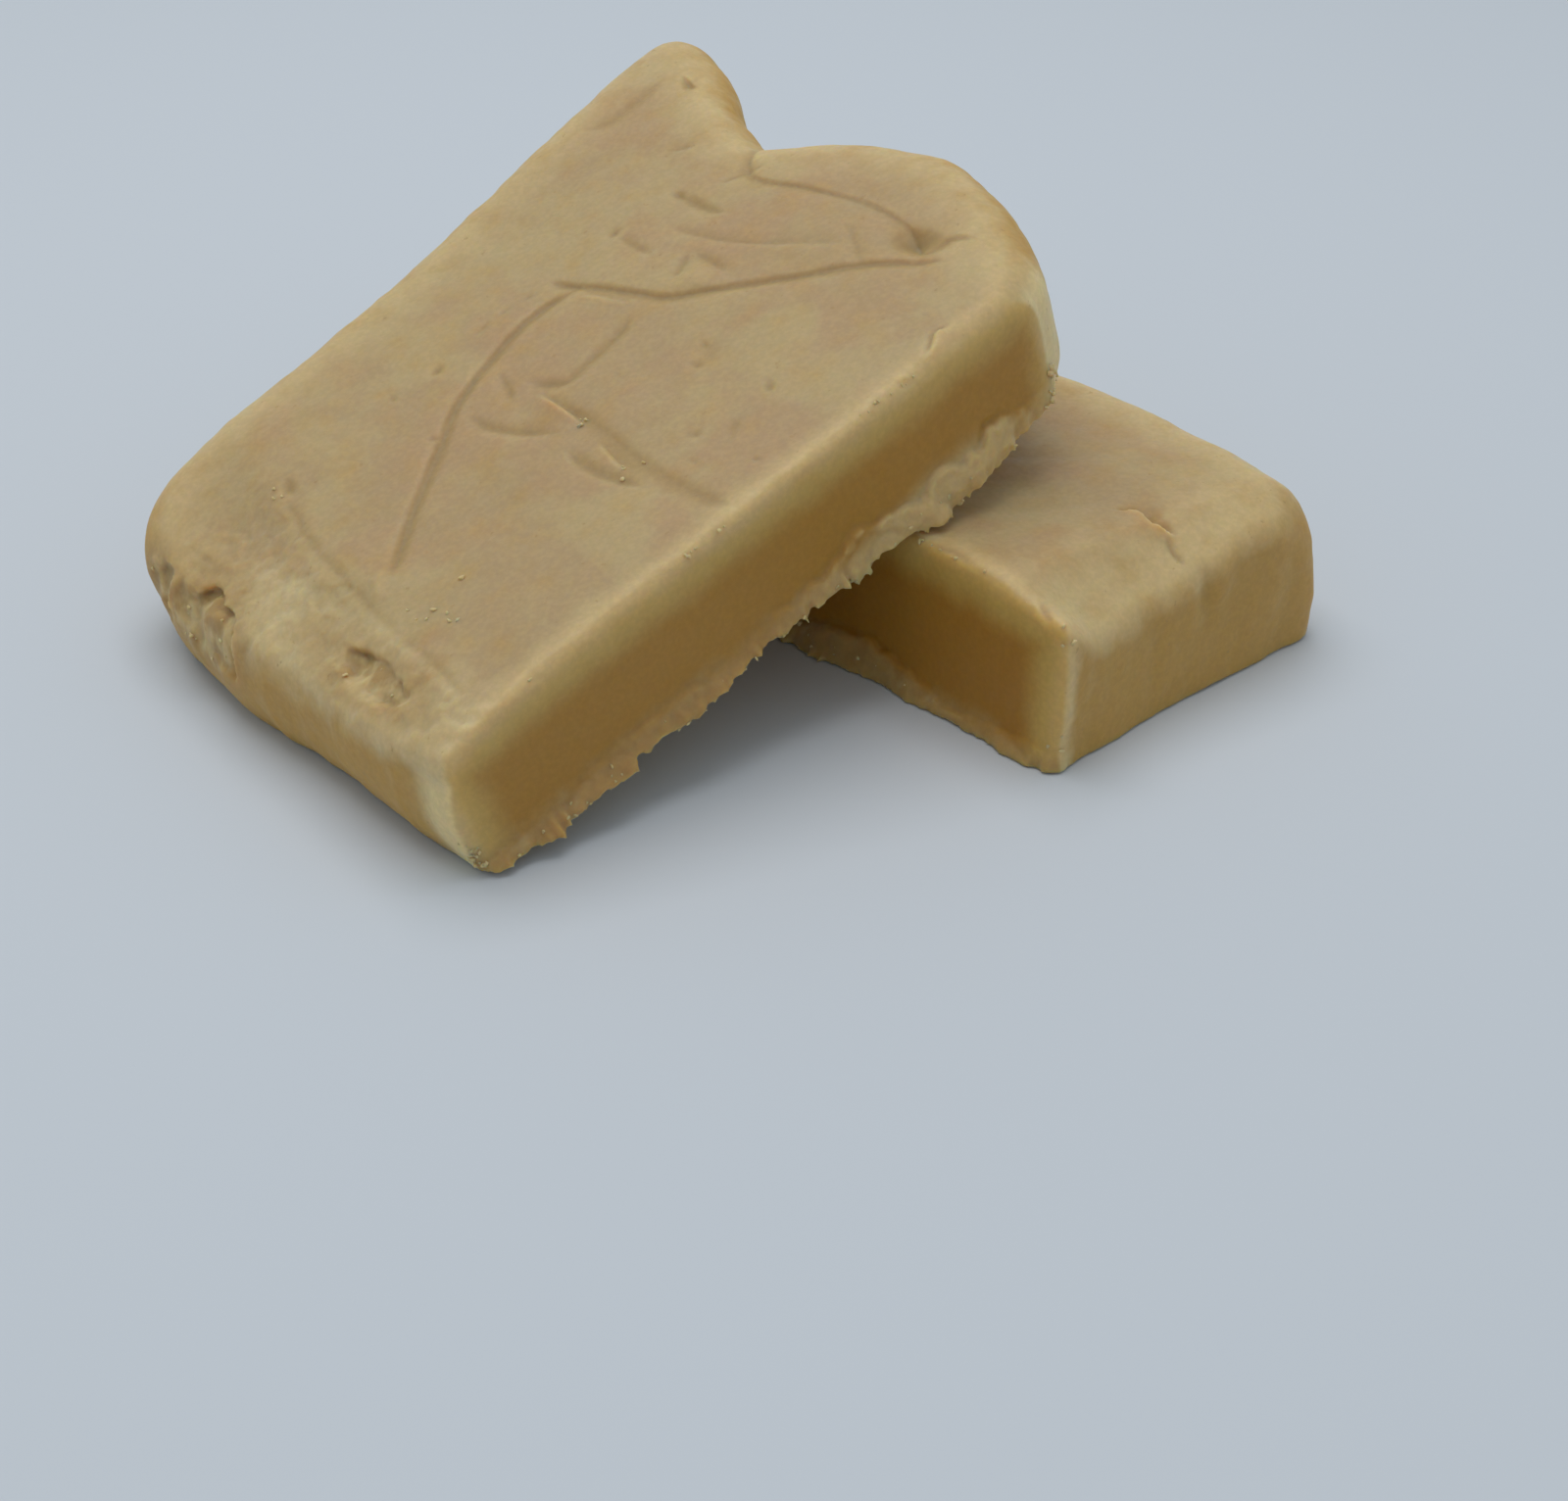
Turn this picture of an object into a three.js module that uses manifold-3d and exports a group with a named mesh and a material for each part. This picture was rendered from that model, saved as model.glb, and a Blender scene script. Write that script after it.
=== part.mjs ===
// Two bars of pan-set fudge, one leaning on the other. Millimetres, +Z up.
//
// Both bars come from one slab that set in a small pan and was cut in two with a knife, so each bar has
// one flat cut face and three moulded sides with a rounded top edge. The lower bar lies flat. The upper
// bar stands on the bottom edge of its near end and leans on the top edge of the lower bar's cut face.
//
// Stack frame: X along the upper bar's length, from its foot towards the lower bar. Y along the lower
// bar's length. The foot edge of the upper bar is on X = 0, and the upper bar's cut face is on Y = 0.

import * as THREE from "three";
import { mergeVertices } from "three/addons/utils/BufferGeometryUtils.js";
import Module from "manifold-3d";

const wasm = await Module();
wasm.setup();

// ---- Driving dimensions ----

const CONTACT_GAP = 0.3; // left between the two bars where they touch
const TOP_EDGE_RADIUS = 5; // moulded top edge, from the pan filled to a soft brim
const EDGE_STEPS = 5; // facets across that rounding
const OUTLINE_STEPS = 5; // points on each stretch of an outline between two of its own
const WASTE = 12; // how far the uncut slab runs past the knife's cut

const UPPER_LENGTH = 112; // foot edge to the tip of the far lobe
const UPPER_THICKNESS_FOOT = 18;
const UPPER_THICKNESS_FAR = 18.6;

const LOWER_THICKNESS = 21.3;
const LOWER_LENGTH = 92; // along its cut face
const LOWER_WIDTH = 50; // cut face to moulded back
const LOWER_REACH = 61.3; // foot edge of the upper bar to the lower bar's cut face
const LOWER_OVERHANG = 26; // how far the lower bar sticks out past the upper bar's cut face

const LEAN = Math.atan2(LOWER_THICKNESS + CONTACT_GAP, LOWER_REACH);

const KNIFE_SPAN = 300; // larger than either bar

// ---- Outlines of the slabs before the cut, as plan views ----

// Upper bar: the knife runs along Y = 0. The far end set with two lobes and a dip between them.
function upperOutline() {
  const shape = new THREE.Shape();
  shape.moveTo(0, -WASTE);
  shape.lineTo(0, 46);
  shape.splineThru(points([
    [0.4, 60], [2.6, 69], [7, 74], [14, 76], [28, 76.8], [48, 78.2], [70, 82.6], [90, 87.4],
    [101, 90.4], [108, 88.6], [UPPER_LENGTH, 82], [108.6, 74], [103, 64.5], [98.6, 55],
    [101.4, 48.6], [104.8, 42], [107, 33.4], [106, 23], [101.5, 12], [94, 0],
  ]));
  shape.lineTo(88, -WASTE);
  shape.closePath();
  return shape;
}

// Lower bar: the knife runs along X = 0, and the near end is a little out of square.
function lowerOutline() {
  const width = LOWER_WIDTH;
  const length = LOWER_LENGTH;
  const shape = new THREE.Shape();
  shape.moveTo(-WASTE, 0);
  shape.lineTo(0, 0);
  shape.splineThru(points([
    [12, 1.4], [24, 2.4], [35, 3], [44, 4.6], [48.4, 9], [49.7, 16], [width, 30], [width + 0.4, 55],
    [width - 0.8, 76], [width - 4.5, 86], [37, 91], [18, length + 0.4], [0, length],
  ]));
  shape.lineTo(-WASTE, length);
  shape.closePath();
  return shape;
}

function points(pairs) {
  return pairs.map(([x, y]) => new THREE.Vector2(x, y));
}

// ---- Making a bar ----

// The slab as it came out of the pan: a rounded top edge, standing on Z = 0 after the trim.
function mouldedSlab(outline, thickness) {
  const geometry = new THREE.ExtrudeGeometry(outline, {
    depth: thickness,
    curveSegments: OUTLINE_STEPS,
    bevelEnabled: true,
    bevelThickness: TOP_EDGE_RADIUS,
    bevelSize: TOP_EDGE_RADIUS,
    bevelOffset: -TOP_EDGE_RADIUS,
    bevelSegments: EDGE_STEPS,
  });
  geometry.translate(0, 0, -TOP_EDGE_RADIUS);
  return geometry;
}

// Makes the slab thicker or thinner along X, with its underside kept flat.
function taperAlongX(geometry, full, thicknessAt) {
  const position = geometry.getAttribute("position");
  for (let i = 0; i < position.count; i++) {
    position.setZ(i, (position.getZ(i) * thicknessAt(position.getX(i))) / full);
  }
  return geometry;
}

function solid(geometry) {
  geometry.deleteAttribute("normal");
  geometry.deleteAttribute("uv");
  const merged = mergeVertices(geometry, 1e-4);
  return new wasm.Manifold(new wasm.Mesh({
    numProp: 3,
    vertProperties: merged.getAttribute("position").array,
    triVerts: new Uint32Array(merged.index.array),
  }));
}

// A block that takes away everything on one side of a plane.
function knife(x, y, z) {
  const block = new THREE.BoxGeometry(KNIFE_SPAN, KNIFE_SPAN, KNIFE_SPAN);
  const half = KNIFE_SPAN / 2;
  block.translate(-x * half, -y * half, -z * half);
  return solid(block);
}

function geometryOf(manifold) {
  const mesh = manifold.getMesh();
  const geometry = new THREE.BufferGeometry();
  geometry.setAttribute("position", new THREE.BufferAttribute(mesh.vertProperties, 3));
  geometry.setIndex(new THREE.BufferAttribute(mesh.triVerts, 1));
  geometry.computeVertexNormals();
  return geometry;
}

function bar(name, slab, cut, colour) {
  const underside = knife(0, 0, 1);
  const body = solid(slab).subtract(underside).subtract(cut);
  const material = new THREE.MeshStandardMaterial({ color: colour, roughness: 0.5, metalness: 0 });
  const mesh = new THREE.Mesh(geometryOf(body), material);
  mesh.name = name;
  return mesh;
}

// ---- The two bars ----

function upperBar() {
  const thicknessAt = (x) =>
    THREE.MathUtils.lerp(UPPER_THICKNESS_FOOT, UPPER_THICKNESS_FAR, x / UPPER_LENGTH);
  const slab = taperAlongX(
    mouldedSlab(upperOutline(), UPPER_THICKNESS_FAR), UPPER_THICKNESS_FAR, thicknessAt);
  const mesh = bar("upper_bar", slab, knife(0, 1, 0), 0xc9ad84);
  mesh.rotation.y = -LEAN;
  return mesh;
}

function lowerBar() {
  const slab = mouldedSlab(lowerOutline(), LOWER_THICKNESS);
  const mesh = bar("lower_bar", slab, knife(1, 0, 0), 0xc2a57c);
  mesh.position.set(LOWER_REACH, -LOWER_OVERHANG, 0);
  return mesh;
}

// ---- Assembly: the origin is the middle of the stack's footprint, on the surface it stands on ----

const stack = new THREE.Group();
stack.add(lowerBar(), upperBar());

const middle = new THREE.Box3().setFromObject(stack, true).getCenter(new THREE.Vector3());
stack.position.set(-middle.x, -middle.y, 0);

const part = new THREE.Group();
part.add(stack);

export default part;
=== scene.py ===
"""Two bars of pan-set fudge, one leaning on the other.

Each bar is one closed mesh. It is the surface where a field over a fine grid is zero: the field joins the
moulded outline, the creased top skin, the flat underside and the knife's cut, with the crumbly burr that the
knife pushed out along the bottom of the cut. All shapes are in millimetres in the bar's own frame, as in the
CAD: X and Y in the plan of the slab, Z through its thickness, with the underside on Z = 0.
"""

import math

import bmesh
import bpy
import numpy as np
from mathutils import Matrix, Vector


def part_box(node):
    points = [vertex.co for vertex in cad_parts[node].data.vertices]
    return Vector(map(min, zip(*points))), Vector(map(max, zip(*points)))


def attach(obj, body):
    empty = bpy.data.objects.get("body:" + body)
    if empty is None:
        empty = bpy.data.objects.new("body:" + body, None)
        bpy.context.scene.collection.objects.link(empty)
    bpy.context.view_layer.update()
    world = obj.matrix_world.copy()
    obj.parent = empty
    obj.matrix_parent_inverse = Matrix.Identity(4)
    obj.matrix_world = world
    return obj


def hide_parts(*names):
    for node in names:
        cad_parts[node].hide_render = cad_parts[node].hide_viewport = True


MM = 0.001

# ---- Driving dimensions, in mm and radians ----

GRID_STEP = 0.36  # spacing of the grid that a bar is made on
TRIANGLE_LIMIT = 190_000  # most triangles in one bar
LATTICE_START = -24.0  # where every noise lattice starts, so the grid's step doesn't change the shapes
LATTICE_END = 160.0
NOISE_GAIN = {1: 1.5, 2: 2.1, 3: 2.9}  # for each number of axes, what brings noise to about -1 to 1

UPPER_LENGTH = 112.0
UPPER_TOP_FOOT = 17.4  # height of the upper bar's top skin near its foot
UPPER_TOP_RISE = 0.9  # how much higher it is at the far end
UPPER_GRID = ((-4, -6, -3.5), (117, 97, 24))  # corners of the grid that the bar is made on, in its own frame
LOWER_WIDTH = 50.0
LOWER_LENGTH = 92.0
LOWER_THICKNESS = 21.3
LOWER_TOP_DROP = 0.35  # how far its top skin lies below that, so the waves of the skin stay inside
LOWER_GRID = ((-8, -4, -1.5), (55, 97, 24.5))
LOWER_REACH = 61.3  # foot edge of the upper bar to the lower bar's cut face
LOWER_OVERHANG = 26.0  # how far the lower bar sticks out past the upper bar's cut face
CONTACT_GAP = 0.3
LEAN = math.atan2(LOWER_THICKNESS + CONTACT_GAP, LOWER_REACH)
WASTE = 12.0  # how far the slab runs past the knife's cut

# ---- Smooth random values ----


def spline_weights(axis, spacing):
    """How much each lattice value counts at each place on an axis: a cubic B-spline."""
    u = (axis - LATTICE_START) / spacing
    cell = np.floor(u).astype(int)
    t = u - cell
    parts = [(1 - t) ** 3, 3 * t**3 - 6 * t**2 + 4, -3 * t**3 + 3 * t**2 + 3 * t + 1, t**3]
    weights = np.zeros((len(axis), cell.max() + 4), np.float32)
    for k, part in enumerate(parts):
        weights[np.arange(len(axis)), cell + k] = part / 6
    return weights


def noise(axes, wavelength, seed):
    """Smooth random values over a grid, mostly from -1 to 1, which change over about a wavelength."""
    random = np.random.default_rng(seed)
    weights = [spline_weights(axis, wavelength / 2) for axis in axes]
    nodes = int((LATTICE_END - LATTICE_START) / (wavelength / 2)) + 5
    values = random.uniform(-1, 1, [nodes] * len(axes)).astype(np.float32)
    values = values[tuple(slice(w.shape[1]) for w in weights)]
    for w in weights:
        values = np.tensordot(values, w, axes=(0, 1))
    return values * NOISE_GAIN[len(axes)]


def ridged(values):
    """Noise turned into narrow peaks from 0 to 1."""
    return np.clip(1 - np.abs(values), 0, 1) ** 3


def smoothstep(low, high, value):
    t = np.clip((value - low) / (high - low), 0, 1)
    return t * t * (3 - 2 * t)


# ---- Paths in plan ----


def smooth_path(points, steps=6):
    """A path through all the points, with steps short pieces between each two: a Catmull-Rom spline."""
    p = np.array([points[0], *points, points[-1]], float)
    t = np.arange(steps)[:, None] / steps
    pieces = []
    for a, b, c, d in zip(p, p[1:], p[2:], p[3:]):
        pieces.append(
            0.5 * (2 * b + (c - a) * t + (2 * a - 5 * b + 4 * c - d) * t**2 + (3 * b - a - 3 * c + d) * t**3)
        )
    return np.vstack([*pieces, p[-1:]])


def nearest_on_path(path, x, y):
    """For each place: distance to the path, the side that it is on (1 left, -1 right), and 0 to 1 along."""
    best = np.full(np.broadcast(x, y).shape, 1e9)
    side = np.ones_like(best)
    along = np.zeros_like(best)
    lengths = np.linalg.norm(np.diff(path, axis=0), axis=1)
    before = np.concatenate([[0], np.cumsum(lengths)]) / lengths.sum()
    for i, (a, b) in enumerate(zip(path, path[1:])):
        dx, dy = b - a
        px, py = x - a[0], y - a[1]
        t = np.clip((px * dx + py * dy) / (dx * dx + dy * dy), 0, 1)
        d = np.hypot(px - t * dx, py - t * dy)
        closer = d < best
        best = np.where(closer, d, best)
        side = np.where(closer, np.sign(dx * py - dy * px), side)
        along = np.where(closer, before[i] + t * (before[i + 1] - before[i]), along)
    return best, side, along


def signed_outline(path, x, y):
    """Distance to a closed outline, negative inside it."""
    closed = np.vstack([path, path[:1]])
    distance = nearest_on_path(closed, x, y)[0]
    inside = np.zeros(distance.shape, bool)
    for (ax, ay), (bx, by) in zip(closed, closed[1:]):
        if ay == by:
            continue
        crosses = (ay > y) != (by > y)
        inside ^= crosses & (x < ax + (y - ay) * (bx - ax) / (by - ay))
    return np.where(inside, -distance, distance)


# ---- Where two fields meet ----


def rounded_meet(a, b, radius):
    """Inside both a and b, with their common edge rounded."""
    corner = np.hypot(np.maximum(a + radius, 0), np.maximum(b + radius, 0))
    return np.minimum(np.maximum(a, b) + radius, 0) + corner - radius


# ---- A closed mesh from a field ----

CORNERS = [(i, j, k) for i in (0, 1) for j in (0, 1) for k in (0, 1)]
CELL_EDGES = [
    (a, b)
    for a in range(8)
    for b in range(a + 1, 8)
    if sum(p != q for p, q in zip(CORNERS[a], CORNERS[b])) == 1
]


def surface_of(field, axes):
    """Points and quads of the surface where the field is zero, with one point in each cell it crosses."""
    inside = field < 0
    nx, ny, nz = (n - 1 for n in field.shape)
    views = [np.s_[i : nx + i, j : ny + j, k : nz + k] for i, j, k in CORNERS]
    count = sum(inside[v].astype(np.int8) for v in views)
    active = (count > 0) & (count < 8)
    cells = np.argwhere(active)
    number = np.full(active.shape, -1, np.int32)
    number[active] = np.arange(len(cells))

    values = [field[v][active] for v in views]
    total = np.zeros((len(cells), 3))
    crossings = np.zeros(len(cells))
    for a, b in CELL_EDGES:
        crossed = (values[a] < 0) != (values[b] < 0)
        t = values[a][crossed] / (values[a][crossed] - values[b][crossed])
        start, end = np.array(CORNERS[a]), np.array(CORNERS[b])
        total[crossed] += start + t[:, None] * (end - start)
        crossings[crossed] += 1
    origin = np.array([axis[0] for axis in axes])
    points = origin + (cells + total / crossings[:, None]) * (axes[0][1] - axes[0][0])

    quads = []
    for axis in range(3):
        low = [slice(None)] * 3
        high = [slice(None)] * 3
        low[axis], high[axis] = slice(None, -1), slice(1, None)
        first, second = inside[tuple(low)], inside[tuple(high)]
        edge = np.argwhere(first != second)
        leaves = first[tuple(edge.T)]
        u, v = np.eye(3, dtype=int)[(axis + 1) % 3], np.eye(3, dtype=int)[(axis + 2) % 3]
        around = [edge - u - v, edge - v, edge, edge - u]
        quad = np.stack([number[tuple(c.T)] for c in around], axis=1)
        quad[~leaves] = quad[~leaves][:, ::-1]
        quads.append(quad)
    return points, np.vstack(quads)


def largest_piece(points, quads):
    """Leaves out bits that aren't joined to the main surface."""
    label = np.arange(len(points))
    while True:
        lowest = label[quads].min(axis=1)
        new = label.copy()
        for k in range(4):
            np.minimum.at(new, quads[:, k], lowest)
        new = new[new]
        if (new == label).all():
            break
        label = new
    main = np.bincount(label).argmax()
    keep = label == main
    renumber = np.cumsum(keep) - 1
    return points[keep], renumber[quads[keep[quads[:, 0]]]]


# ---- Creases, pits and lips in a top skin ----


def add_crease(height, x, y, points, left, right):
    """Presses a crease into a height map, or raises a lip. left and right are (height, width) on each side
    of the path, which tapers off at both ends."""
    path = smooth_path(points)
    length = np.hypot(*np.diff(path, axis=0).T).sum()
    fade = min(CREASE_TAPER / length, 0.35)
    left = (left[0] * CREASE_DEPTH, left[1] * CREASE_WIDTH)
    right = (right[0] * CREASE_DEPTH, right[1] * CREASE_WIDTH)
    reach = 3.2 * max(left[1], right[1])
    low, high = path.min(axis=0) - reach, path.max(axis=0) + reach
    i = slice(*np.searchsorted(x[:, 0], (low[0], high[0])))
    j = slice(*np.searchsorted(y[0], (low[1], high[1])))
    distance, side, along = nearest_on_path(path, x[i], y[:, j])
    ends = smoothstep(0, fade, along) * smoothstep(0, fade, 1 - along)
    taper = 0.35 + 0.65 * ends
    shapes = [h * np.exp(-((distance / (w * taper)) ** 1.5)) for h, w in (left, right)]
    blend = smoothstep(-0.35, 0.35, side * distance)
    height[i, j] += ends * (blend * shapes[0] + (1 - blend) * shapes[1])


def add_dent(height, x, y, centre, radii, depth, turn=0.0):
    """Presses an oval dent, or raises a bump where depth is negative."""
    c, s = math.cos(math.radians(turn)), math.sin(math.radians(turn))
    u = (x - centre[0]) * c + (y - centre[1]) * s
    v = (y - centre[1]) * c - (x - centre[0]) * s
    height -= depth * np.exp(-((u / radii[0]) ** 2) - (v / radii[1]) ** 2)


# Each crease: its path, then (height, width) to its left and to its right, in these units.
CREASE_DEPTH = 1.0
CREASE_WIDTH = 1.4
CREASE_TAPER = 5.0  # mm of its path over which a crease runs out
UPPER_CREASES = [
    # The long curved fold from the near end to the middle.
    ([(15, 27), (24, 35), (34, 42.5), (40, 47), (49, 50.5), (57, 52), (64, 51)], (-0.65, 0.4), (-0.65, 0.85)),
    # The fold that crosses it and runs to the far end.
    ([(61, 57), (63.5, 49.5), (65.5, 43), (67, 38.5), (71, 34), (78, 25.5), (84, 18.5), (89, 10.5)],
     (-0.6, 0.4), (-0.6, 0.85)),
    # The panel between them: its top edge and its right edge.
    ([(60, 48), (62, 48), (63.5, 41)], (-0.12, 1.0), (0.28, 0.7)),
    ([(63.5, 40), (58.5, 38.5), (53, 37.5), (49.5, 37), (47.5, 40), (47, 43)], (-0.5, 0.8), (-0.5, 0.6)),
    # The triangular flake with a raised lip, and the folds on its other sides.
    ([(46.5, 39), (46, 35.5), (45.5, 27.5)], (-0.45, 0.9), (0.75, 1.3)),
    ([(46.5, 47), (44.5, 42), (43, 39.5)], (-0.35, 0.5), (-0.35, 0.6)),
    ([(39.5, 45), (39, 40.5), (40, 36), (43.5, 28.5)], (-0.45, 0.7), (-0.45, 0.6)),
    # Folds from the flake towards the cut edge.
    ([(46.5, 34), (46, 27), (44.5, 16), (44.5, 9), (45, 0.5)], (-0.45, 0.8), (-0.45, 1.4)),
    ([(44.5, 25), (43, 19.5), (43, 16)], (-0.2, 0.8), (0.35, 0.9)),
    ([(41.5, 28), (40.5, 21), (42, 12)], (-0.5, 0.9), (-0.5, 0.5)),
    ([(34.5, 32.5), (31.5, 23.5), (30.5, 14.5)], (-0.12, 1.6), (-0.12, 1.6)),
    # Folds on the far lobes.
    ([(98, 54.5), (90, 48), (91.5, 39), (92.5, 28), (91, 19.5), (89, 15.5), (92.5, 14), (94.5, 9.5)],
     (-0.1, 0.9), (-0.5, 0.9)),
    ([(82, 54), (82, 47), (83, 43.5)], (-0.5, 0.7), (-0.5, 0.7)),
    ([(76.5, 51), (78.5, 40.5), (82.5, 30.5), (85.5, 23)], (-0.35, 0.9), (-0.35, 0.5)),
    ([(88.5, 29.5), (85.5, 24), (82, 19)], (-0.35, 0.55), (-0.35, 0.7)),
    ([(75, 43), (69, 40)], (-0.4, 0.5), (-0.4, 0.6)),
    ([(75, 43), (74, 34)], (-0.42, 0.7), (-0.42, 0.6)),
    ([(72.5, 55.5), (71.5, 46)], (-0.38, 0.6), (-0.38, 0.6)),
    # Where the top starts to slope down to the near end, and a small raised ridge beside the long fold.
    ([(18.5, 54), (15, 44.5), (13, 33), (11.5, 22), (10.5, 12), (9, 2.5)], (-0.22, 0.7), (-0.3, 0.6)),
    ([(16.5, 30), (12, 25.5)], (0.4, 0.55), (0.4, 0.55)),
    # Cracks along the cut's top edge and on the far lobe.
    ([(80.5, 3.5), (79.5, 2.5), (78, 3), (75.5, 1.5), (74, 2.5)], (0.35, 0.7), (-0.55, 0.38)),
    ([(71.5, 0.5), (69.5, 1)], (-0.4, 0.4), (0.3, 0.5)),
    ([(84.5, 79), (89.5, 76.5), (97.5, 76.5), (100.5, 75.5)], (-0.35, 1.0), (-0.45, 1.6)),
    ([(101.5, 75), (100, 70.5)], (0.3, 0.6), (-0.4, 0.7)),
    ([(93.5, 47.5), (89.5, 49), (85, 51)], (-0.35, 0.5), (-0.25, 0.8)),
    ([(91, 60), (88, 63)], (-0.35, 0.5), (-0.2, 0.6)),
]

# Each dent: its centre, radii, depth and turn in degrees. A negative depth is a bump.
UPPER_DENTS = [
    ((89.5, 17.5), (1.9, 2.6), 1.4, 20),
    ((72.5, 55.5), (1.2, 0.7), 0.45, 20),
    ((18.5, 53), (0.8, 1.8), 0.55, -20),
    ((17.5, 51.5), (0.6, 1.2), -0.3, -20),
    ((82, 53.5), (0.8, 1.2), 0.45, 0),
    ((100.5, 72), (1.8, 1.2), 0.5, 30),
    ((42.5, 54.5), (0.9, 0.6), 0.4, 20),
    ((36, 55.5), (0.8, 0.5), 0.3, 60),
    ((60, 25), (0.6, 0.9), 0.35, 0),
    ((62.5, 25), (2.4, 1.6), 0.28, 30),
    ((48, 12), (0.6, 0.8), 0.25, 0),
    ((52, 5.5), (0.5, 0.7), 0.25, 0),
    ((63, 27), (0.5, 0.8), 0.3, 0),
    ((34, 44), (0.6, 0.5), 0.3, 0),
    ((54.5, 12), (1.9, 0.9), 0.32, 35),
    ((61.5, 13.5), (1.2, 0.6), 0.4, 50),
    ((51, 15), (0.6, 1.3), 0.28, 20),
    ((53.5, 31.5), (0.6, 1.3), 0.22, -20),
    ((51, 56), (1.4, 0.6), 0.3, 20),
    ((54.5, 56), (1.0, 0.5), 0.25, 10),
    ((58, 55.5), (0.9, 0.5), 0.25, 0),
    ((71.5, 37.5), (2.0, 1.6), -0.3, 0),
    ((86.5, 30), (5.0, 7.0), -0.35, 0),
]

LOWER_CREASES = [
    # The torn fold on the near end's rounded edge.
    ([(22.5, 15), (24.5, 12), (24, 10), (25, 8.5), (26, 6.5)], (-1.5, 1.0), (0.75, 1.1)),
    ([(25, 9), (23.5, 6), (24, 3)], (-0.5, 0.9), (-0.15, 0.9)),
    # Cracks along the cut's top edge.
    ([(0.5, 24.5), (0.5, 21), (1, 18.5), (0.5, 13.5)], (-0.3, 0.6), (-0.45, 0.4)),
    ([(2, 6.5), (1.5, 5), (0.5, 3), (0, 1.5)], (-0.2, 0.8), (-0.6, 0.5)),
    # Long shallow folds in the top skin.
    ([(6, 28), (20, 18.5), (28, 17)], (-0.14, 1.6), (-0.14, 1.2)),
    ([(16, 38), (31, 27), (38, 26)], (-0.16, 1.6), (-0.16, 1.2)),
    ([(9, 62), (30, 53), (40, 49)], (-0.3, 0.9), (-0.3, 0.8)),
    ([(14, 82), (20, 71), (23, 60)], (-0.35, 0.9), (-0.35, 0.7)),
    ([(27, 84), (33, 75), (41, 70)], (-0.3, 0.8), (-0.3, 0.8)),
]

LOWER_DENTS = [
    ((26.5, 12), (2.2, 1.4), 0.25, 60),
    ((20.5, 26), (3.0, 1.6), 0.2, 30),
    ((36, 40), (0.8, 0.6), 0.35, 0),
    ((12, 47), (0.7, 0.9), 0.35, 0),
    ((30, 66), (1.4, 0.9), 0.4, 40),
    ((8, 74), (0.9, 0.7), 0.4, 0),
]


# ---- The field of one bar ----


def grid_axes(low, high):
    return [np.arange(a, b + GRID_STEP, GRID_STEP) for a, b in zip(low, high)]


def creased(axes, creases, dents):
    """Height of the creases and dents above the smooth top, over the plan."""
    x, y = axes[0][:, None], axes[1][None, :]
    height = np.zeros((x.size, y.size))
    for points, left, right in creases:
        add_crease(height, x, y, points, left, right)
    for dent in dents:
        add_dent(height, x, y, *dent)
    return height


def grain(plan_axes, seed):
    """Height of the soft waves and grain of the top skin, over the plan."""
    height = 0.34 * noise(plan_axes, 24, seed) + 0.16 * noise(plan_axes, 9, seed + 1)
    return height + 0.05 * noise(plan_axes, 3.2, seed + 2) + 0.018 * noise(plan_axes, 1.4, seed + 3)


def scales(plan_axes, seed):
    """Height of the flaky crystals where the skin is dry and rough, over the plan."""
    height = 0.16 * smoothstep(-0.08, 0.10, noise(plan_axes, 4.5, seed))
    height = height + 0.12 * smoothstep(0.05, 0.2, noise(plan_axes, 2.0, seed + 1))
    return height + 0.10 * noise(plan_axes, 1.5, seed + 2)


def side_waves(axes, seed):
    """How far the moulded sides bulge out, over the whole grid. Most of the waves run up the side."""
    upright = [axes[0], axes[1], axes[2] / 4]
    waves = 0.30 * noise(axes, 20, seed) + 0.20 * noise(upright, 7, seed + 1)
    return waves + 0.08 * noise(upright, 2.6, seed + 2) + 0.05 * noise(axes, 2.2, seed + 3)


def stations(along, pairs):
    """Values along a cut, from a few (place, value) pairs."""
    places, values = zip(*pairs)
    return np.interp(along, places, values)


def ragged(along, seed):
    """An uneven edge with broad scallops, small nicks and a few separate teeth, mostly from -1 to 1."""
    edge = 0.45 * noise([along], 9, seed) + 0.25 * noise([along], 4, seed + 1)
    edge += 0.14 * noise([along], 1.7, seed + 2) + 0.16 * noise([along], 0.9, seed + 3)
    teeth = ridged(1.6 * noise([along], 2.0, seed + 4)) * smoothstep(0.25, 0.6, noise([along], 5, seed + 5))
    return edge + teeth


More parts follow.
